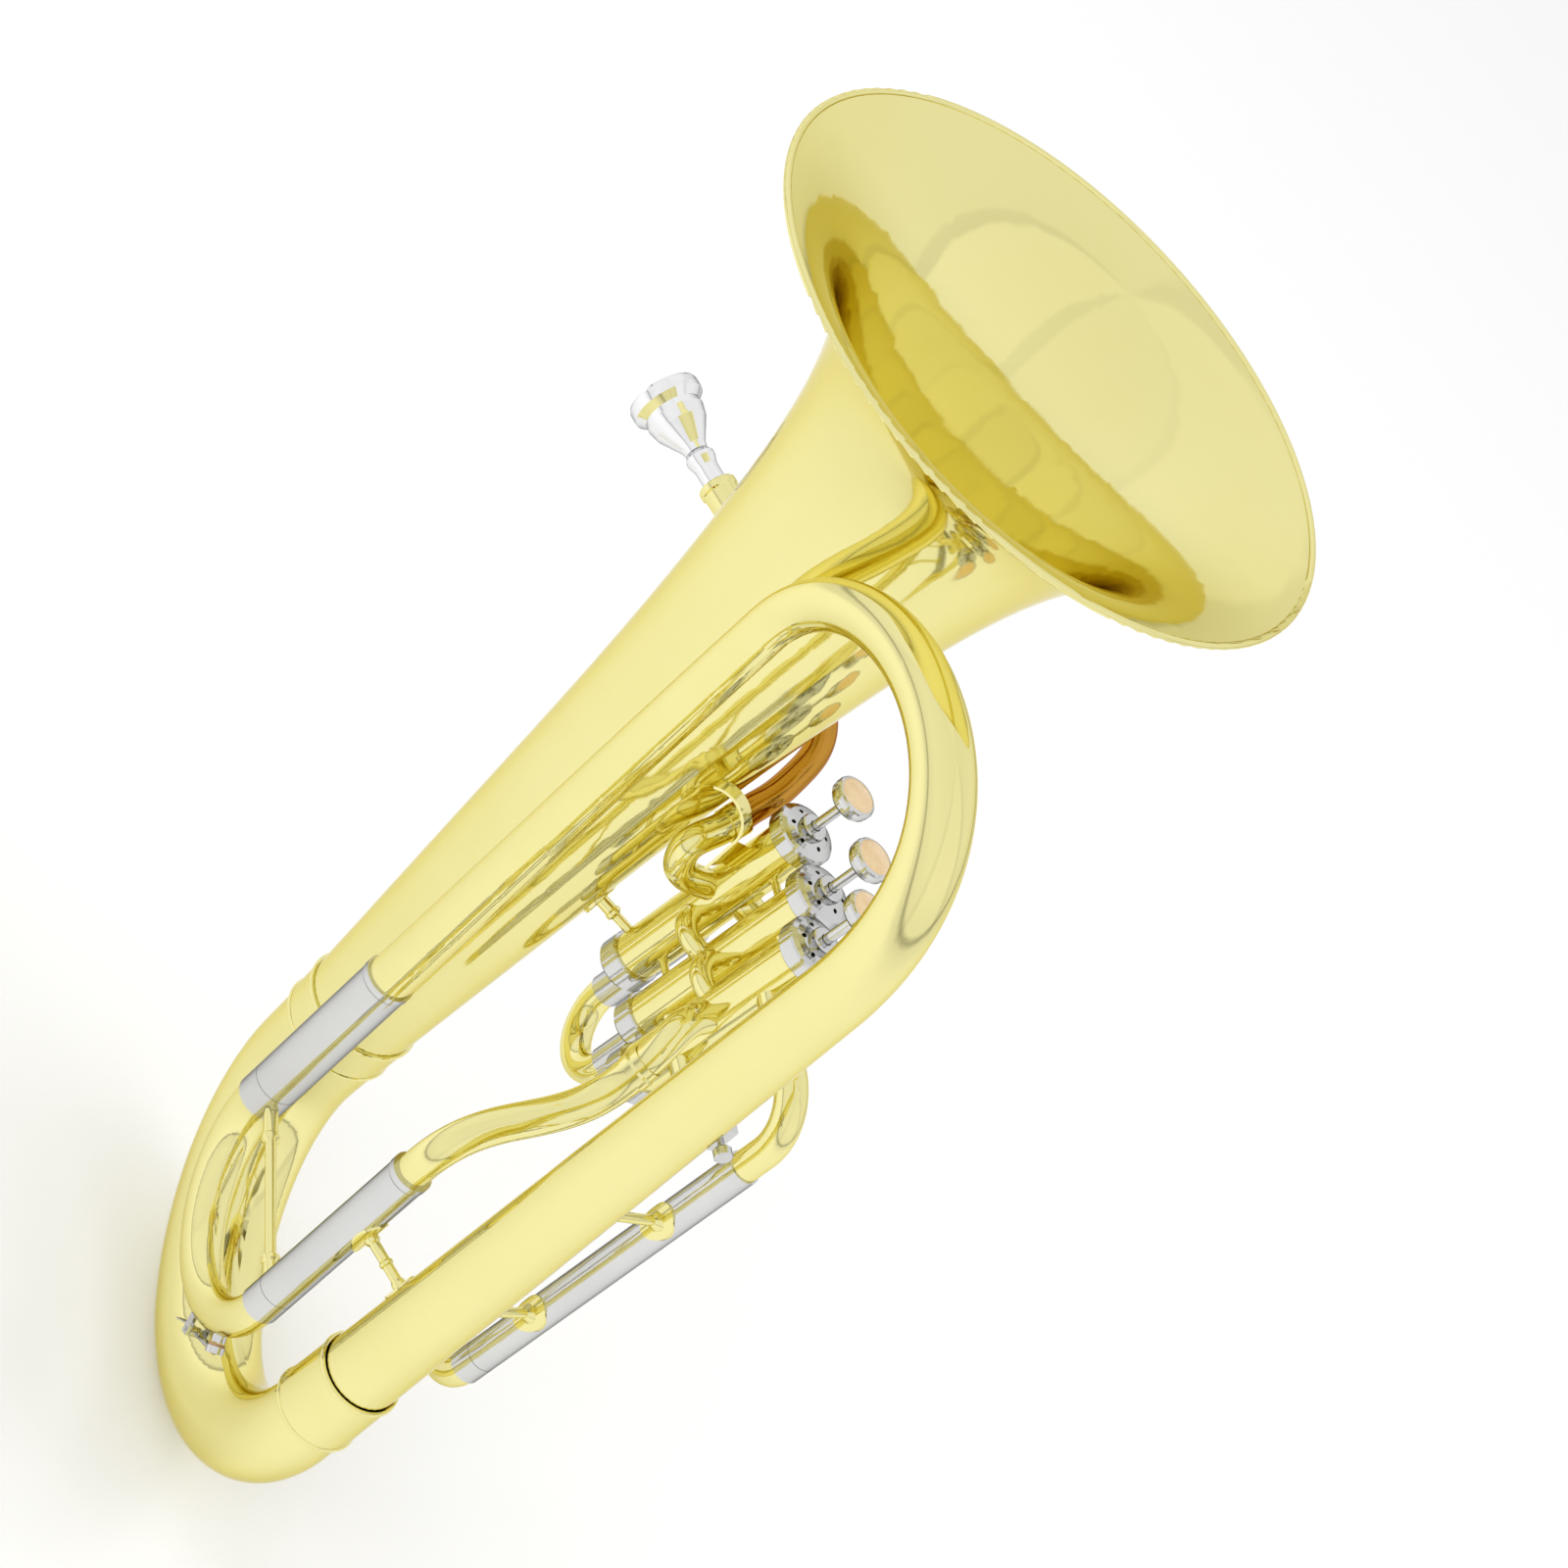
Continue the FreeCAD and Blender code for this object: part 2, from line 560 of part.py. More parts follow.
def build_spacers():
    studs = []
    for i, j in ((0, 1), (1, 2)):
        for t in (-30.0, -104.0):
            a, b = valve_point(i, t), valve_point(j, t)
            d = unit(b - a)
            gap = (b - a).Length - 2 * CASING_R
            waist = [(0, 0), (3.0, 0), (3.0, 6.6), (1.9, 7.6), (1.9, gap + 5.4), (3.0, gap + 6.4),
                     (3.0, gap + 13.0), (0, gap + 13.0)]
            stud = turned(a + d * (CASING_R - 6.5), d, waist)
            studs.append(stud.cut(casing_body(i)).cut(casing_body(j)))
    return studs


spacers = build_spacers()

leadpipe_dir = unit(MOUTHPIECE_DIR * -1.0)
LEADPIPE_BENDS = (Vec(-121.5, 56.4, 420.9), Vec(-112.0, 61.0, 418.2), Vec(-102.8, 63.6, 409.7),
                  Vec(-93.4, 59.8, 398.0), Vec(-82.3, 50.9, 387.3), Vec(-76.1, 44.0, 381.1))
INLET, INLET_DIR = Vec(-72.0, 40.5, 378.5), Vec(0.62, -0.66, -0.42)
INLET_MID, INLET_MID_DIR = Vec(-57.3, 23.9, 361.5), Vec(0.1, 0.25, -0.96)
INLET_Z = 348.0
LEADPIPE_R = (6.0, 7.1)


def build_leadpipe():
    start = RECEIVER_END + leadpipe_dir * 6.0
    bends = Part.BSplineCurve()
    bends.interpolate(Points=list(LEADPIPE_BENDS) + [INLET],
                      InitialTangent=unit(LEADPIPE_BENDS[0] - start), FinalTangent=unit(INLET_DIR))
    first, last = bends.FirstParameter, bends.LastParameter
    run = [blend(start, LEADPIPE_BENDS[0], k / 5) for k in range(5)]
    run += [bends.value(blend(first, last, k / 14)) for k in range(15)]
    radii = tapered(*LEADPIPE_R, len(run))
    return hollow_loft(run, radii, TUBE_T, LEADPIPE_BENDS[0] - start, INLET_DIR)


leadpipe = build_leadpipe()
inlet_axis = valve_at_z(0, INLET_Z)
inlet_in = unit(Vec(inlet_axis.x - INLET_MID.x, inlet_axis.y - INLET_MID.y, 0))
inlet_edges = path(INLET, INLET_DIR, 6.0, (INLET_MID, INLET_MID_DIR),
                   (inlet_axis - inlet_in * 14.5, inlet_in), 10.5)
leadpipe_elbow, inlet_bore = tube(inlet_edges, LEADPIPE_R[1], TUBE_T)
leadpipe_elbow = leadpipe_elbow.cut(casing_body(0))
leadpipe_ferrule = joint_ferrule(INLET, INLET_DIR, LEADPIPE_R[1] + 0.3, LEADPIPE_R[1])

second_sleeves = []
second_legs = []
second_bores = []
second_dir = unit(SECOND_DIR)
second_seam = valve_at_z(1, SECOND_Z[0]) + second_dir * SECOND_END
for z in SECOND_Z:
    axis = valve_at_z(1, z)
    seam = axis + second_dir * (second_seam - axis).dot(second_dir)
    sleeve = collar(axis + second_dir * SECOND_START, seam, VALVE_SLEEVE_R, TUBE_R)
    second_sleeves.append(sleeve.cut(casing_body(1)))
    second_legs.append(seam + second_dir * SEAM_GAP)
    second_bores.append(rod(axis + second_dir * 5.0, axis + second_dir * 16.0, TUBE_R - TUBE_T))
second_bow = u_bow(second_legs[0], second_legs[1], second_dir, TUBE_R - SLIDE_FIT, TUBE_T, 21.0)

ports = {0: [first_branches[0][1], first_branches[1][1], knuckles[0][1], inlet_bore],
         1: [knuckles[0][1], knuckles[1][1]] + second_bores,
         2: [third_branches[0][1], third_branches[1][1], knuckles[1][1], elbow_bore]}


def build_casing(i):
    shell = collar(valve_point(i, CASING_LOW), valve_point(i, CASING_TOP),
                   CASING_R, CASING_R - CASING_T)
    for bore in ports[i]:
        shell = shell.cut(bore)
    return shell


def build_top_cap(i):
    hole = STEM_R + 0.35
    profile = [(CASING_R, CAP_SKIRT), (CAP_R - 0.6, CAP_SKIRT), (CAP_R, CAP_SKIRT + 0.6),
               (CAP_R, -6.6), (CAP_R - 0.7, -5.6), (12.4, -4.6), (9.4, -3.7), (6.6, -3.2),
               (6.6, -0.6), (6.0, 0.0), (hole, 0.0), (hole, FELT_TOP), (9.6, FELT_TOP),
               (9.6, CASING_TOP + 0.1), (CASING_R, CASING_TOP + 0.1)]
    cap = turned(VALVE_TOPS[i], VALVE_DIR, profile)
    side = unit(VALVE_DIR.cross(Vec(0, 1, 0)))
    fore = unit(VALVE_DIR).cross(side)
    for k in range(6):
        a = math.pi * (k + 0.5) / 3
        spot = VALVE_TOPS[i] + (side * math.cos(a) + fore * math.sin(a)) * 9.4
        cap = cap.cut(rod(spot - unit(VALVE_DIR) * 12.0, spot, 1.1))
    return cap


def build_felt(i):
    profile = [(STEM_R + 0.5, FELT_TOP - 3.0), (8.0, FELT_TOP - 3.0), (8.0, FELT_TOP),
               (STEM_R + 0.5, FELT_TOP)]
    return turned(VALVE_TOPS[i], VALVE_DIR, profile)


def build_bottom_cap(i):
    profile = [(0, BOTTOM_CAP_LOW - 1.2), (3.2, BOTTOM_CAP_LOW - 1.2), (4.0, BOTTOM_CAP_LOW),
               (BOTTOM_CAP_R - 1.4, BOTTOM_CAP_LOW + 0.8), (BOTTOM_CAP_R, BOTTOM_CAP_LOW + 2.4),
               (BOTTOM_CAP_R, BOTTOM_CAP_TOP - 0.6), (BOTTOM_CAP_R - 0.6, BOTTOM_CAP_TOP),
               (CASING_R, BOTTOM_CAP_TOP), (CASING_R, CASING_LOW), (9.0, CASING_LOW),
               (9.0, CASING_LOW - 4.6), (0, CASING_LOW - 4.6)]
    return turned(VALVE_TOPS[i], VALVE_DIR, profile)


def build_piston(i):
    r = CASING_R - CASING_T - SLIDE_FIT
    a, b = valve_point(i, PISTON_LOW), valve_point(i, PISTON_TOP)
    up = unit(VALVE_DIR)
    body = rod(a, b, r)
    body = body.cut(rod(a + up * 1.5, b - up * 1.5, r - 0.8))
    side = unit(VALVE_DIR.cross(Vec(0, 1, 0)))
    for k, t in enumerate((-38.0, -55.0, -72.0)):
        turn = FreeCAD.Rotation(VALVE_DIR, 35.0 * k)
        d = turn.multVec(side)
        mid = valve_point(i, t)
        tube = rod(mid - d * 14.0, mid + d * 14.0, 6.9).common(rod(a, b, r))
        body = body.fuse(tube).cut(rod(mid - d * 14.0, mid + d * 14.0, 6.3))
    return body


def build_stem(i):
    shoulder = STEM_R + 1.4
    profile = [(0, PISTON_TOP), (STEM_R, PISTON_TOP), (STEM_R, BUTTON_LOW - 2.0),
               (shoulder, BUTTON_LOW - 1.4), (shoulder, BUTTON_LOW), (0, BUTTON_LOW)]
    return turned(VALVE_TOPS[i], VALVE_DIR, profile)


def build_button(i):
    low, top = BUTTON_LOW, BUTTON_TOP
    profile = [(0, low), (6.2, low), (8.8, low + 0.8), (10.0, low + 2.2), (BUTTON_R, low + 4.4),
               (BUTTON_R, top - 1.6), (BUTTON_R - 0.4, top - 0.6), (BUTTON_R - 1.1, top),
               (PEARL_R, top), (PEARL_R, top - 2.0), (0, top - 2.0)]
    return turned(VALVE_TOPS[i], VALVE_DIR, profile)


def build_pearl(i):
    top = BUTTON_TOP
    profile = [(0, top - 2.0), (PEARL_R, top - 2.0), (PEARL_R, top - 0.2), (PEARL_R - 1.2, top + 0.1),
               (PEARL_R / 2, top + 0.45), (0, top + 0.55)]
    return turned(VALVE_TOPS[i], VALVE_DIR, profile)


def build_spring(i):
    low = CASING_LOW - 4.6 + SPRING_WIRE_R + 0.05
    high = PISTON_LOW - SPRING_WIRE_R - 0.05
    height = high - low
    helix = Part.makeHelix(height / SPRING_COILS, height, SPRING_R)
    corners = []
    for k in range(SPRING_FLATS + 1):
        a = 2 * math.pi * (k % SPRING_FLATS) / SPRING_FLATS
        corners.append(Vec(SPRING_R + SPRING_WIRE_R * math.cos(a), 0, SPRING_WIRE_R * math.sin(a)))
    coil = Part.Wire(helix).makePipeShell([Part.makePolygon(corners)], True, True)
    coil.Placement = FreeCAD.Placement(valve_point(i, low), FreeCAD.Rotation(Vec(0, 0, 1), VALVE_DIR))
    return coil


# ---------------------------------------------------------------- first and third slides
first_sleeves = [collar(a, b, VALVE_SLEEVE_R, TUBE_R) for a, b in zip(first_low, first_tops)]
first_bow = u_bow(first_low[0] - FIRST_UP * SEAM_GAP, first_low[1] - FIRST_UP * SEAM_GAP,
                  FIRST_UP * -1.0, TUBE_R - SLIDE_FIT, TUBE_T, 56.0)

third_sleeves = [collar(a + THIRD_UP * THIRD_FERRULE, b, VALVE_SLEEVE_R, TUBE_R)
                 for a, b in zip(third_low, third_tops)]


def third_leg(low, top):
    r = TUBE_R - SLIDE_FIT
    step = THIRD_FERRULE - SEAM_GAP
    length = (top - low).Length - SOCKET - 4.0
    profile = [(r - TUBE_T, 0), (VALVE_SLEEVE_R, 0), (VALVE_SLEEVE_R, step), (r, step),
               (r, length), (r - TUBE_T, length)]
    return turned(low, THIRD_DIR, profile)


third_legs = [third_leg(a, b) for a, b in zip(third_low, third_tops)]
third_bow = u_bow(third_low[0], third_low[1], THIRD_UP * -1.0, TUBE_R, TUBE_T)


# ---------------------------------------------------------------- braces, ring and fittings
def saddle_patch(core_foot, core_top, core_r, thickness, centre, out, half_width, half_len):
    """Piece of a thin sleeve around a tube, outlined by an oval seen from outside."""
    shell = rod(core_foot, core_top, core_r + thickness).cut(rod(core_foot, core_top, core_r))
    axis = unit(core_top - core_foot)
    side = unit(axis.cross(out))
    oval = Part.Ellipse(Vec(0, 0, 0), half_len, half_width)
    prism = Part.Face(Part.Wire([oval.toShape()])).extrude(Vec(0, 0, core_r * 2.0))
    rot = FreeCAD.Rotation(axis, side * -1.0, unit(out), "ZXY")
    prism.Placement = FreeCAD.Placement(centre, rot)
    return shell.common(prism)


def build_sleeve_brace(z):
    """Post from the lower slide sleeve to the outer branch."""
    a = SLIDE_B + Vec(0, 0, z)
    b = at_height(BRANCH_FOOT, branch_axis, z)
    waist, band = 2.5, 3.2
    d = unit(Vec(b.x - a.x, b.y - a.y, 0))
    sleeve_r = SLIDE_B_R + SLEEVE_T
    patch = saddle_patch(a - Vec(0, 0, 20), a + Vec(0, 0, 20), sleeve_r, 0.9, a, d, 7.2, 11.0)
    start = a + d * (sleeve_r - 1.0)
    length = (b - start).Length - branch_radius(z) + 2.0
    half = length / 2
    profile = [(0, 0), (3.4, 0), (3.4, 3.4), (waist, 4.6), (waist, half - 1.4), (band, half - 0.6),
               (band, half + 0.6), (waist, half + 1.4), (waist, length - 6.0), (band, length - 4.6),
               (3.4, length), (0, length)]
    post = turned(start, d, profile)
    foot = saddle_patch(at_height(BRANCH_FOOT, branch_axis, z - 22.0),
                        at_height(BRANCH_FOOT, branch_axis, z + 22.0),
                        branch_radius(z), 0.9, b, d * -1.0, 7.0, 9.0)
    brace = patch.fuse(post).fuse(foot)
    brace = brace.cut(Part.makeCylinder(sleeve_r, 60.0, a - Vec(0, 0, 30)))
    return brace.cut(solid_branch)


def solid_cone_branch():
    foot = at_height(BRANCH_FOOT, branch_axis, BRANCH_JOINT_Z)
    length = (BRANCH_TOP - foot).Length
    return turned(foot, branch_axis, [(0, 0), (branch_radius(BRANCH_JOINT_Z), 0),
                                      (BRANCH_R_TOP, length), (0, length)])


solid_branch = solid_cone_branch()
sleeve_brace = build_sleeve_brace(198.0)


def build_third_brace(z):
    """Saddle on the near third-slide sleeve with a strut to the outer branch."""
    a = at_height(THIRD_NEAR, THIRD_DIR, z)
    b = at_height(BRANCH_FOOT, branch_axis, z + 18.0)
    d = unit(b - a)
    low, high = a - THIRD_UP * 20.0, a + THIRD_UP * 20.0
    patch = saddle_patch(low, high, VALVE_SLEEVE_R, 0.9, a, d, 7.6, 10.0)
    start = a + d * (VALVE_SLEEVE_R - 1.0)
    length = (b - start).Length - branch_radius(z + 18.0) + 3.0
    profile = [(0, 0), (4.6, 0), (4.6, 1.4), (2.4, 6.0), (2.4, length - 6.0), (3.6, length - 2.0),
               (3.6, length), (0, length)]
    brace = patch.fuse(turned(start, d, profile))
    return brace.cut(rod(low, high, VALVE_SLEEVE_R)).cut(solid_branch)


third_braces = [build_third_brace(281.0), build_third_brace(193.0)]


def build_bell_brace():
    """Flanged post from the bell to the first valve casing."""
    v = valve_at_z(0, 294.0)
    flange = Vec(v.x - BELL_AXIS.x, v.y, 0)
    d = unit(flange)
    bell_r = 36.85
    surface = BELL_AXIS + d * bell_r + Vec(0, 0, 294.0)
    disc = turned(surface - d * 1.6, d, [(0, 0), (9.0, 0), (9.0, 2.0), (8.4, 2.6), (0, 2.6)])
    length = flange.Length - bell_r - CASING_R + 5.0
    profile = [(0, 0), (3.2, 0), (3.2, 9.0), (3.8, 9.8), (3.8, 11.4), (2.3, 12.6),
               (2.3, length), (0, length)]
    post = turned(surface - d * 2.0, d, profile)
    brace = disc.fuse(post).cut(casing_body(0))
    inside = turned(BELL_AXIS, Vec(0, 0, 1), [(0, 203), (31.6, 203), (36.2, 283), (40.9, 363), (0, 363)])
    return brace.cut(inside).cut(bell)


bell_brace = build_bell_brace()

RING_R, RING_W, RING_T = 14.9, 8.0, 1.3
RING_CENTRE = Vec(-51.0, 16.05, 394.7)
RING_SIDE = Vec(0.588, 0.809, 0)         # from the bell towards the first valve
RING_GAP = math.radians(130.0)           # where the open end stops
RING_LEG = 20.5
PLATE_DIR = Vec(-0.741, 0.672, 0)        # edge-on plate from the leg back to the casing
PLATE_REACH = 35.4
PLATE_FRONT_Z, PLATE_REAR_Z = (374.5, 393.5), (357.0, 371.0)


def build_finger_ring():
    """Open hook of flat strip on a thin plate that stands on the first casing."""
    across = unit(RING_SIDE)
    up = Vec(0, 0, 1)
    front = across.cross(up)
    outline = []
    for r, order in ((RING_R, 1), (RING_R - RING_T, -1)):
        arc = [RING_CENTRE + across * (r * math.cos(a)) + up * (r * math.sin(a))
               for a in (RING_GAP * k / 20 for k in range(21))]
        arc.insert(0, RING_CENTRE + across * r - up * RING_LEG)
        outline += arc[::order]
    strip = Part.Face(Part.makePolygon(outline + [outline[0]]))
    strip.translate(front * (-RING_W / 2))
    strip = strip.extrude(front * RING_W)
    heel = RING_CENTRE + across * (RING_R - RING_T / 2)
    front_low, front_high = (Vec(heel.x, heel.y, z) for z in PLATE_FRONT_Z)
    rear = heel + PLATE_DIR * PLATE_REACH
    rear_low, rear_high = (Vec(rear.x, rear.y, z) for z in PLATE_REAR_Z)
    plate = Part.Face(Part.makePolygon([front_low, rear_low, rear_high, front_high, front_low]))
    thick = unit(PLATE_DIR.cross(up)) * RING_T
    plate.translate(thick * -0.5)
    return strip.fuse(plate.extrude(thick)).cut(casing_body(0)).removeSplitter()


finger_ring = build_finger_ring()

LYRE_AT = 374.0


def build_lyre_socket():
    """Square socket for a music lyre, held off the outer branch."""
    b = at_height(BRANCH_FOOT, branch_axis, LYRE_AT)
    out = unit(Vec(-0.15, 0.99, 0.0))
    r = branch_radius(LYRE_AT)
    side = unit(out.cross(Vec(0, 0, 1)))
    block = Part.makeBox(9.0, 9.0, 15.0, Vec(-4.5, 0, -7.5))
    rot = FreeCAD.Rotation(side, out, Vec(0, 0, 1), "ZXY")
    block.Placement = FreeCAD.Placement(b + out * (r - 1.0), rot)
    hole_at = b + out * (r + 4.4)
    socket = block.cut(Part.makeCylinder(2.6, 20.0, hole_at - Vec(0, 0, 10.0)))
    screw_dir = side
    screw_at = hole_at
    socket = socket.cut(rod(screw_at, screw_at + screw_dir * 10.0, 1.5 + SLIDE_FIT)).cut(solid_branch)
    screw = turned(screw_at + screw_dir * 3.2, screw_dir,
                   [(0, 0), (1.5, 0), (1.5, 5.4), (3.6, 5.4), (4.0, 5.9), (4.0, 9.4), (3.6, 9.9), (0, 9.9)])
    return socket, screw, screw_at, screw_dir


lyre_socket, lyre_screw, lyre_at, lyre_dir = build_lyre_socket()


# ---------------------------------------------------------------- mouthpiece and receiver
def build_receiver():
    """Short tapered socket soldered over the start of the leadpipe."""
    d = leadpipe_dir
    profile = [(5.55, -16.0), (8.6, -16.0), (9.0, -15.4), (9.0, -12.6), (8.2, -12.0), (7.2, 8.0),
               (7.0, 14.0), (6.15, 14.0), (6.15, 6.0), (5.0, 6.0)]
    return turned(RECEIVER_END, d, profile)


def build_mouthpiece():
    """Cup, throat and tapered shank turned from one bar; t = 0 is the shank tip."""
    rim = MOUTHPIECE_LEN
    tip = RECEIVER_END + leadpipe_dir * 4.0
    outer = [(3.2, 0), (4.86, 0), (5.5, 21.0), (5.6, 30.0), (6.9, 34.0), (6.9, 36.0), (5.4, 38.5),
             (6.2, 42.0), (9.4, 47.5), (12.6, 53.0), (14.0, 58.5), (13.6, 61.6), (15.2, 63.2),
             (17.0, 65.0), (17.2, 67.0), (17.2, rim - 2.0), (16.6, rim - 0.7), (15.2, rim)]
    inner = [(13.6, rim - 0.5), (12.7, rim - 2.4), (12.4, rim - 6.0), (11.2, rim - 11.0),
             (8.4, rim - 16.5), (5.0, rim - 20.5), (3.2, rim - 24.0), (2.6, rim - 28.0), (2.8, 30.0)]
    return turned(tip, MOUTHPIECE_DIR, outer + inner)


receiver = build_receiver()
mouthpiece = build_mouthpiece()

# ---------------------------------------------------------------- write every piece
os.makedirs("parts", exist_ok=True)
save("bell", bell)
save("bell_ferrule", bell_ferrule)
save("bottom_bow", bottom_bow)
save("branch_ferrule", branch_ferrule)
save("outer_branch", outer_branch)
save("top_bow", top_bow)
save("small_branch", small_branch)
save("upper_slide_sleeve", upper_slide_sleeve)
save("lower_slide_sleeve", lower_slide_sleeve)
save("tuning_slide_legs", tuning_legs)
save("tuning_slide_bow", tuning_bow)
save("tuning_slide_brace", tuning_brace)
save("water_key_seat", [key_nipple, key_saddle])
save("water_key_spring", key_coil)
save("water_key_lever", key_lever)
save("water_key_cork", key_cork)
save("valve_outlet_tube", outlet_tube)
save("tube_ferrules", [outlet_ferrule, leadpipe_ferrule])
save("outlet_elbow", outlet_elbow)
save("valve_knuckles", [k[0] for k in knuckles])
save("casing_spacers", spacers)
save("top_caps", [build_top_cap(i) for i in range(3)])
save("cap_felts", [build_felt(i) for i in range(3)])
save("bottom_caps", [build_bottom_cap(i) for i in range(3)])
for i in range(3):
    n = str(i + 1)
    save("valve_casing_" + n, build_casing(i))
    save("piston_" + n, build_piston(i))
    save("valve_stem_" + n, build_stem(i))
    save("finger_button_" + n, build_button(i))
    save("button_pearl_" + n, build_pearl(i))
    save("valve_spring_" + n, build_spring(i))
save("first_slide_sleeves", first_sleeves)
save("first_slide_branches", [b[0] for b in first_branches])
save("first_slide_bow", first_bow)
save("second_slide_sleeves", second_sleeves)
save("second_slide_bow", second_bow)
save("third_slide_sleeves", third_sleeves)
save("third_slide_branches", [b[0] for b in third_branches])
save("third_slide_legs", third_legs)
save("third_slide_bow", third_bow)
save("body_braces", [sleeve_brace, bell_brace])
save("third_slide_braces", third_braces)
save("finger_ring", finger_ring)
save("leadpipe", leadpipe)
save("leadpipe_elbow", leadpipe_elbow)
save("mouthpiece_receiver", receiver)
save("mouthpiece", mouthpiece)
save("lyre_socket", lyre_socket)
save("lyre_screw", lyre_screw)
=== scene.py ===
import json
import math

import bpy
from mathutils import Matrix, Vector


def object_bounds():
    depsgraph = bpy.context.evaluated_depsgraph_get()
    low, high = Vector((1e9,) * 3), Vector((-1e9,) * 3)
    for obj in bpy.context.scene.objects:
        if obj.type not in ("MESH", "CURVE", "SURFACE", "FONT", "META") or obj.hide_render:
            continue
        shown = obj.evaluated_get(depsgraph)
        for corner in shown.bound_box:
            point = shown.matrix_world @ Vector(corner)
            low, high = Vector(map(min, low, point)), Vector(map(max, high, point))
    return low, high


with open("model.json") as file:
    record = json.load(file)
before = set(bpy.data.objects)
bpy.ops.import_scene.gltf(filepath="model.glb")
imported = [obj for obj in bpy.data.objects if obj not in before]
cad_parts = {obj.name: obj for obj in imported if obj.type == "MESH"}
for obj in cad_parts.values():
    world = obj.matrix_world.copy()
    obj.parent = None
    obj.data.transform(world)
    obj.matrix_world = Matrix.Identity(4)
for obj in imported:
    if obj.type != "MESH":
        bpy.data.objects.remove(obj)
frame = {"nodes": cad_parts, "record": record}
cad_low, cad_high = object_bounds()
record = frame["record"]
nodes = frame["nodes"]


# ---------------------------------------------------------------- material helpers
# places of the colour sockets in a Mix node's lists
MIX_FACTOR, MIX_FIRST, MIX_SECOND, MIX_RESULT = 0, 6, 7, 2


def new_material(name):
    mat = bpy.data.materials.new(name)
    mat.use_nodes = True
    tree = mat.node_tree
    shader = tree.nodes["Principled BSDF"]
    return mat, tree, shader


def add(tree, kind, **settings):
    node = tree.nodes.new(kind)
    for key, value in settings.items():
        setattr(node, key, value)
    return node


def position(tree, scale=(1.0, 1.0, 1.0), rotation=(0.0, 0.0, 0.0)):
    """Object coordinates, stretched and turned for the texture that follows."""
    coords = add(tree, "ShaderNodeTexCoord")
    mapping = add(tree, "ShaderNodeMapping")
    mapping.inputs["Scale"].default_value = scale
    mapping.inputs["Rotation"].default_value = rotation
    tree.links.new(coords.outputs["Object"], mapping.inputs["Vector"])
    return mapping.outputs["Vector"]


def noise(tree, vector, scale, detail=3.0, rough=0.5):
    node = add(tree, "ShaderNodeTexNoise")
    node.inputs["Scale"].default_value = scale
    node.inputs["Detail"].default_value = detail
    node.inputs["Roughness"].default_value = rough
    tree.links.new(vector, node.inputs["Vector"])
    return node.outputs["Fac"]


def remap(tree, value, low, high, from_low=0.3, from_high=0.7):
    node = add(tree, "ShaderNodeMapRange")
    node.inputs["From Min"].default_value = from_low
    node.inputs["From Max"].default_value = from_high
    node.inputs["To Min"].default_value = low
    node.inputs["To Max"].default_value = high
    tree.links.new(value, node.inputs["Value"])
    return node.outputs["Result"]


def mixed(tree, factor, first, second):
    node = add(tree, "ShaderNodeMix", data_type="RGBA")
    node.inputs[MIX_FIRST].default_value = (*first, 1.0)
    node.inputs[MIX_SECOND].default_value = (*second, 1.0)
    tree.links.new(factor, node.inputs[MIX_FACTOR])
    return node.outputs[MIX_RESULT]


def bumped(tree, shader, heights):
    """Chain of bumps; heights is a list of (value socket, strength, distance)."""
    last = None
    for value, strength, distance in heights:
        node = add(tree, "ShaderNodeBump")
        node.inputs["Strength"].default_value = strength
        node.inputs["Distance"].default_value = distance
        tree.links.new(value, node.inputs["Height"])
        if last is not None:
            tree.links.new(last, node.inputs["Normal"])
        last = node.outputs["Normal"]
    tree.links.new(last, shader.inputs["Normal"])


def polished(name, color, deep, edge, rough, wave, scratch, coat):
    """Polished metal: patchy tone, faint hand-buffed waviness, hairline wipe marks, clear coat.

    edge is how the metal tints light that grazes it, and rough the least and most roughness."""
    mat, tree, shader = new_material(name)
    here = position(tree)
    patches = noise(tree, here, 14.0, 4.0, 0.6)
    tone = mixed(tree, remap(tree, patches, 0.0, 1.0), color, deep)
    tree.links.new(tone, shader.inputs["Base Color"])
    shader.inputs["Metallic"].default_value = 1.0
    smears = noise(tree, position(tree, (1.0, 1.0, 0.35)), 42.0, 5.0, 0.65)
    tree.links.new(remap(tree, smears, *rough), shader.inputs["Roughness"])
    broad = noise(tree, here, 9.0, 1.0, 0.4)
    hair = noise(tree, position(tree, (1.0, 1.0, 0.04), (0.3, 0.2, 0.0)), 900.0, 2.0, 0.7)
    bumped(tree, shader, [(broad, wave, 0.004), (hair, scratch, 0.0002)])
    shader.inputs["Specular Tint"].default_value = (*edge, 1.0)
    shader.inputs["Coat Weight"].default_value = coat
    shader.inputs["Coat Roughness"].default_value = 0.03
    shader.inputs["Coat IOR"].default_value = 1.5
    return mat


def satin_metal(name, color, deep, roughness, grain_scale):
    mat, tree, shader = new_material(name)
    here = position(tree, (1.0, 1.0, 0.1))
    grain = noise(tree, here, grain_scale, 6.0, 0.7)
    tree.links.new(mixed(tree, remap(tree, grain, 0.0, 1.0), color, deep), shader.inputs["Base Color"])
    tree.links.new(remap(tree, grain, roughness * 0.8, roughness * 1.25), shader.inputs["Roughness"])
    shader.inputs["Metallic"].default_value = 1.0
    bumped(tree, shader, [(grain, 0.25, 0.0001)])
    return mat


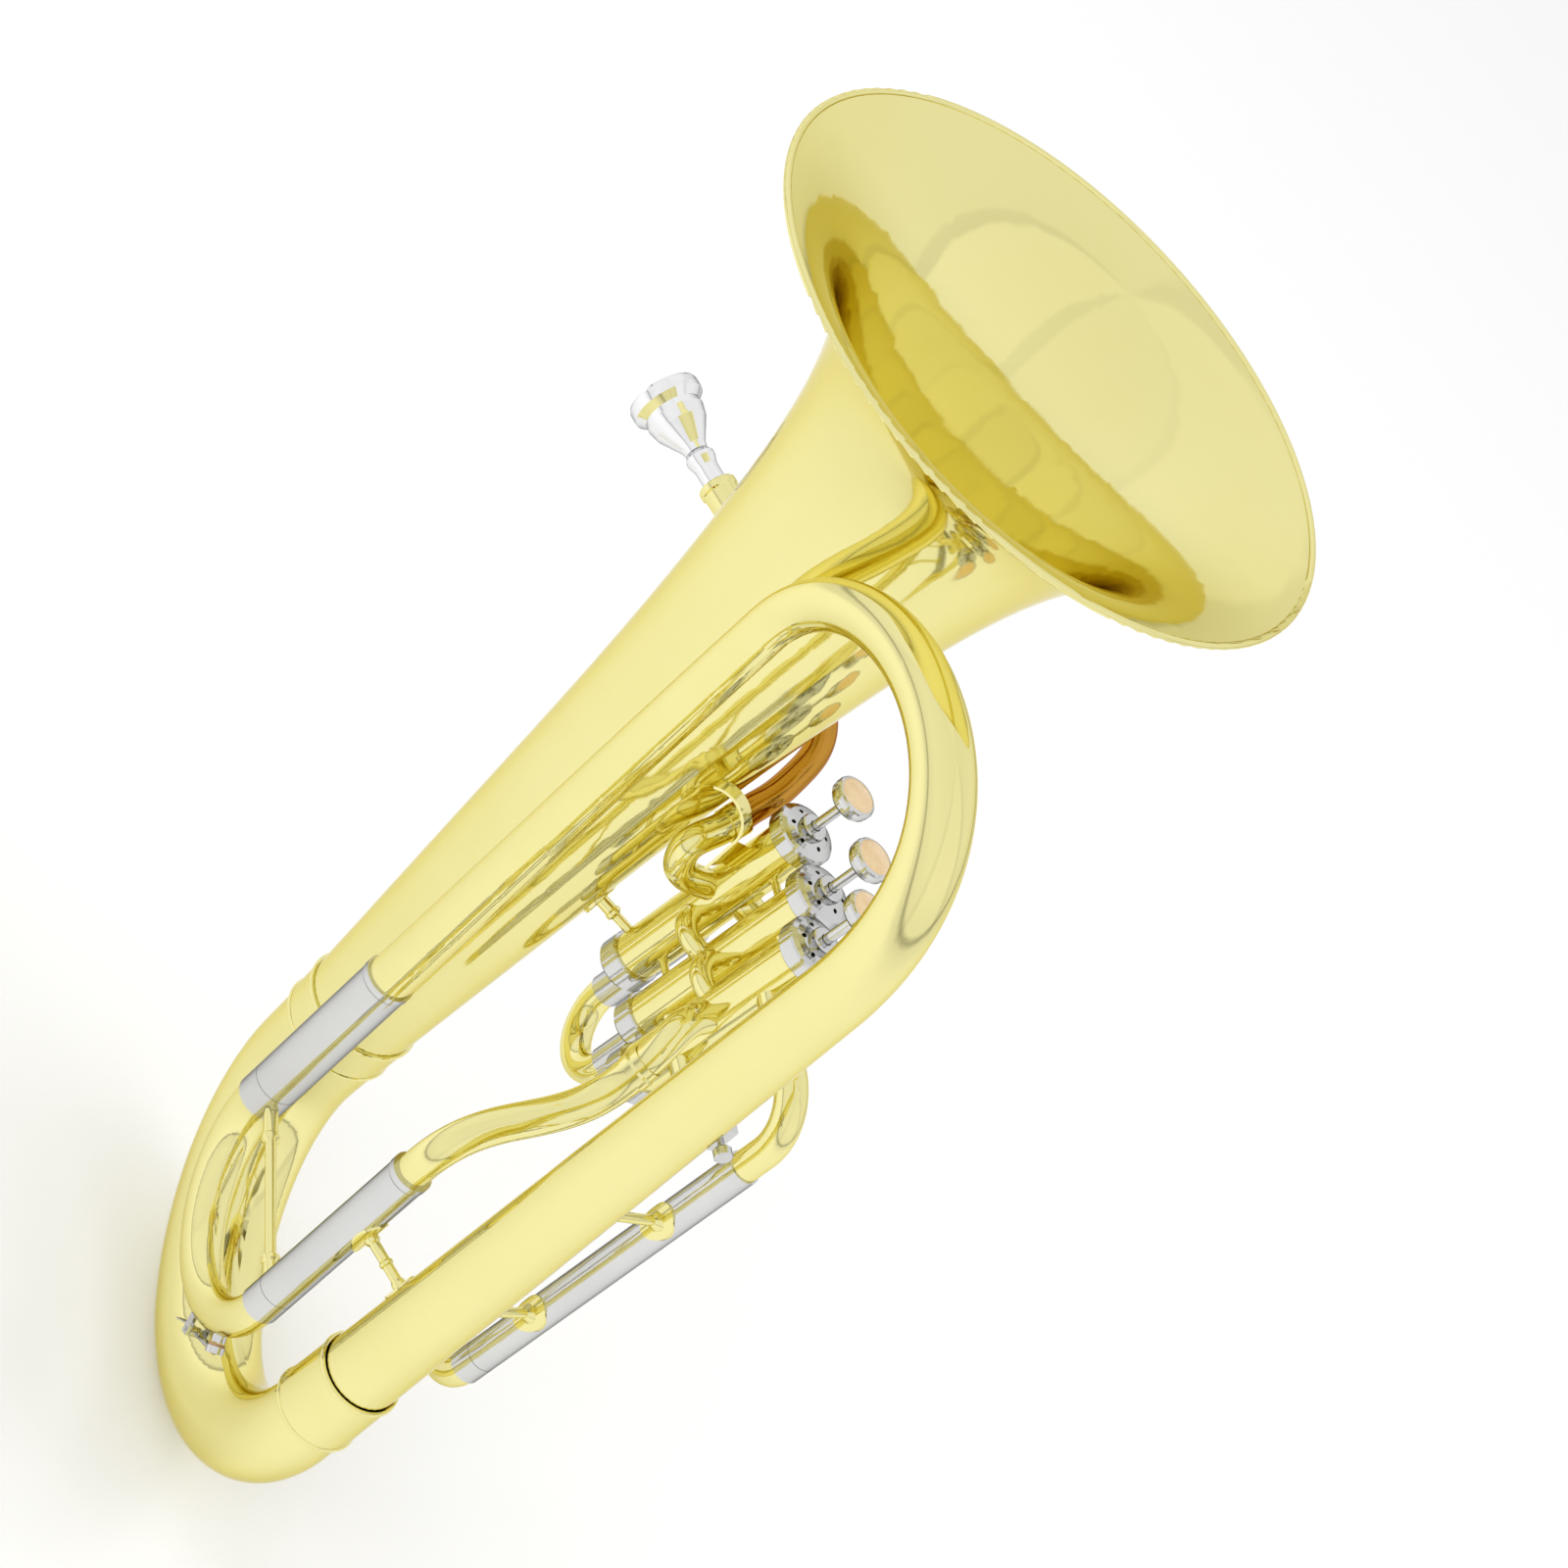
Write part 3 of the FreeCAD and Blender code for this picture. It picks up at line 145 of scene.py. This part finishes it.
def pearl(name):
    """Milky inlay with drifting sheen under a clear surface."""
    mat, tree, shader = new_material(name)
    clouds = noise(tree, position(tree), 160.0, 4.0, 0.55)
    tone = mixed(tree, remap(tree, clouds, 0.0, 1.0), (0.80, 0.56, 0.30), (0.90, 0.70, 0.46))
    tree.links.new(tone, shader.inputs["Base Color"])
    drift = noise(tree, position(tree, (1.0, 2.0, 1.0)), 420.0, 2.0, 0.5)
    tree.links.new(remap(tree, drift, 0.16, 0.30), shader.inputs["Roughness"])
    shader.inputs["Subsurface Weight"].default_value = 0.15
    shader.inputs["Subsurface Radius"].default_value = (0.002, 0.0012, 0.0006)
    shader.inputs["Coat Weight"].default_value = 0.6
    shader.inputs["Coat Roughness"].default_value = 0.05
    bumped(tree, shader, [(clouds, 0.05, 0.0004)])
    return mat


def fibrous(name, color, deep, scale, height):
    mat, tree, shader = new_material(name)
    here = position(tree)
    fuzz = noise(tree, here, scale, 8.0, 0.75)
    clumps = noise(tree, here, scale * 0.2, 3.0, 0.5)
    tree.links.new(mixed(tree, remap(tree, clumps, 0.0, 1.0), color, deep), shader.inputs["Base Color"])
    tree.links.new(remap(tree, fuzz, 0.75, 0.95), shader.inputs["Roughness"])
    bumped(tree, shader, [(fuzz, 0.8, height)])
    return mat


MATERIALS = {
    "lacquered_brass": polished("lacquered_brass", color=(0.885, 0.815, 0.37), deep=(0.87, 0.80, 0.34),
                                edge=(0.76, 0.68, 0.26), rough=(0.04, 0.09),
                                wave=0.05, scratch=0.03, coat=0.5),
    "rose_brass": polished("rose_brass", color=(0.60, 0.30, 0.035), deep=(0.52, 0.25, 0.025),
                           edge=(0.40, 0.20, 0.04), rough=(0.08, 0.14),
                           wave=0.04, scratch=0.03, coat=0.35),
    "nickel_silver": polished("nickel_silver", color=(0.72, 0.72, 0.71), deep=(0.66, 0.66, 0.66),
                              edge=(0.30, 0.30, 0.29), rough=(0.05, 0.12),
                              wave=0.03, scratch=0.06, coat=0.0),
    "silver_plate": polished("silver_plate", color=(0.94, 0.94, 0.95), deep=(0.90, 0.90, 0.91),
                             edge=(0.45, 0.45, 0.46), rough=(0.04, 0.09),
                             wave=0.02, scratch=0.02, coat=0.0),
    "piston_nickel": satin_metal("piston_nickel", (0.70, 0.70, 0.71), (0.62, 0.62, 0.63), 0.22, 500.0),
    "spring_steel": satin_metal("spring_steel", (0.52, 0.52, 0.54), (0.42, 0.42, 0.44), 0.28, 700.0),
    "pearl": pearl("pearl"),
    "felt": fibrous("felt", (0.74, 0.72, 0.66), (0.66, 0.64, 0.58), 1400.0, 0.0004),
    "cork": fibrous("cork", (0.52, 0.33, 0.17), (0.38, 0.22, 0.10), 700.0, 0.0004),
}

for part in record["subparts"]:
    mesh = nodes[part["node"]].data
    mesh.materials.clear()
    mesh.materials.append(MATERIALS[part["material_slot"]])

# ---------------------------------------------------------------- scene
FLOOR_TONE = (0.95, 0.95, 0.95)
FLOOR_HALF = 6.0
FLOOR_DROP = 0.001
# radiance of the studio walls by height, from straight down to straight up
WALL_HEIGHTS = ((0.0, 0.92), (0.47, 0.84), (0.50, 0.42), (0.53, 0.90), (0.70, 0.97), (1.0, 0.92))
# and a factor around the vertical axis: soft panels with darker joins between them
WALL_JOINS = ((0.0, 1.0), (0.165, 1.0), (0.17, 0.94), (0.185, 0.945), (0.19, 0.97), (0.44, 0.98),
              (0.445, 0.90), (0.47, 0.91), (0.475, 1.0), (0.67, 1.0), (0.675, 0.84), (0.70, 0.86),
              (0.705, 0.95), (0.91, 0.96), (0.92, 0.88), (0.95, 0.90), (0.955, 1.0))


def ramp(tree, value, stops):
    node = add(tree, "ShaderNodeValToRGB")
    elements = node.color_ramp.elements
    while len(elements) < len(stops):
        elements.new(0.5)
    for element, (where, level) in zip(elements, stops):
        element.position = where
        element.color = (level, level, level, 1.0)
    tree.links.new(value, node.inputs["Fac"])
    return node.outputs["Color"]


def build_world():
    """White studio of soft panels; the darker joins draw lines along the polished tubes."""
    world = bpy.data.worlds.new("studio")
    bpy.context.scene.world = world
    world.use_nodes = True
    tree = world.node_tree
    coords = add(tree, "ShaderNodeTexCoord")
    split = add(tree, "ShaderNodeSeparateXYZ")
    tree.links.new(coords.outputs["Generated"], split.inputs["Vector"])
    height = add(tree, "ShaderNodeMapRange")
    height.inputs["From Min"].default_value = -1.0
    tree.links.new(split.outputs["Z"], height.inputs["Value"])
    around = add(tree, "ShaderNodeMath", operation="ARCTAN2")
    tree.links.new(split.outputs["Y"], around.inputs[0])
    tree.links.new(split.outputs["X"], around.inputs[1])
    turn = add(tree, "ShaderNodeMapRange")
    turn.inputs["From Min"].default_value = -math.pi
    turn.inputs["From Max"].default_value = math.pi
    tree.links.new(around.outputs["Value"], turn.inputs["Value"])
    product = add(tree, "ShaderNodeMix", data_type="RGBA", blend_type="MULTIPLY")
    product.inputs[MIX_FACTOR].default_value = 1.0
    tree.links.new(ramp(tree, height.outputs["Result"], WALL_HEIGHTS), product.inputs[MIX_FIRST])
    tree.links.new(ramp(tree, turn.outputs["Result"], WALL_JOINS), product.inputs[MIX_SECOND])
    tree.links.new(product.outputs[MIX_RESULT], tree.nodes["Background"].inputs["Color"])


def build_floor():
    mesh = bpy.data.meshes.new("floor")
    signs = ((-1, -1), (1, -1), (1, 1), (-1, 1))
    corners = [(x * FLOOR_HALF, y * FLOOR_HALF, 0.0) for x, y in signs]
    mesh.from_pydata(corners, [], [(0, 1, 2, 3)])
    floor = bpy.data.objects.new("floor", mesh)
    bpy.context.scene.collection.objects.link(floor)
    floor.location.z = cad_low[2] - FLOOR_DROP
    mat, tree, shader = new_material("floor")
    grain = noise(tree, position(tree), 300.0, 4.0, 0.6)
    low = tuple(c * 0.985 for c in FLOOR_TONE)
    tree.links.new(mixed(tree, grain, FLOOR_TONE, low), shader.inputs["Base Color"])
    shader.inputs["Roughness"].default_value = 0.9
    mesh.materials.append(mat)


LAMP_TARGET = Vector((0.0, 0.0, 0.32))
# name, place, size and power in watts
LAMPS = (("key", (1.6, -2.0, 2.2), (1.8, 1.2), 13.0),
         ("fill", (-1.8, -1.4, 1.6), (1.8, 1.2), 9.0),
         ("top", (0.2, 1.2, 2.6), (1.8, 1.0), 10.0))


def area_light(name, where, size, power):
    light = bpy.data.lights.new(name, "AREA")
    light.shape = "RECTANGLE"
    light.size, light.size_y = size
    light.energy = power
    lamp = bpy.data.objects.new(name, light)
    bpy.context.scene.collection.objects.link(lamp)
    lamp.location = where
    lamp.visible_glossy = False
    lamp.rotation_euler = (LAMP_TARGET - Vector(where)).to_track_quat("-Z", "Y").to_euler()


# the camera's place and its three axes, in the part's own frame
CAMERA_AT = Vector((1.1213, -0.8247, 1.3940))
CAMERA_RIGHT = Vector((0.0556, 0.7816, 0.6213))
CAMERA_UP = Vector((-0.7379, -0.3870, 0.5529))
CAMERA_BACK = Vector((0.6726, -0.4892, 0.5552))
LENS = 94.4
SENSOR_WIDTH = 36.0


def build_camera():
    data = bpy.data.cameras.new("camera")
    data.lens = LENS
    data.sensor_width = SENSOR_WIDTH
    camera = bpy.data.objects.new("camera", data)
    bpy.context.scene.collection.objects.link(camera)
    turn = Matrix((CAMERA_RIGHT, CAMERA_UP, CAMERA_BACK)).transposed().to_4x4()
    camera.matrix_world = Matrix.Translation(CAMERA_AT) @ turn
    bpy.context.scene.camera = camera


build_world()
build_floor()
for lamp_settings in LAMPS:
    area_light(*lamp_settings)
build_camera()
# polished tubes mirror one another many times over
bpy.context.scene.cycles.max_bounces = 24
bpy.context.scene.cycles.glossy_bounces = 16
bpy.context.scene.view_settings.view_transform = "Standard"
bpy.context.scene.view_settings.look = "None"
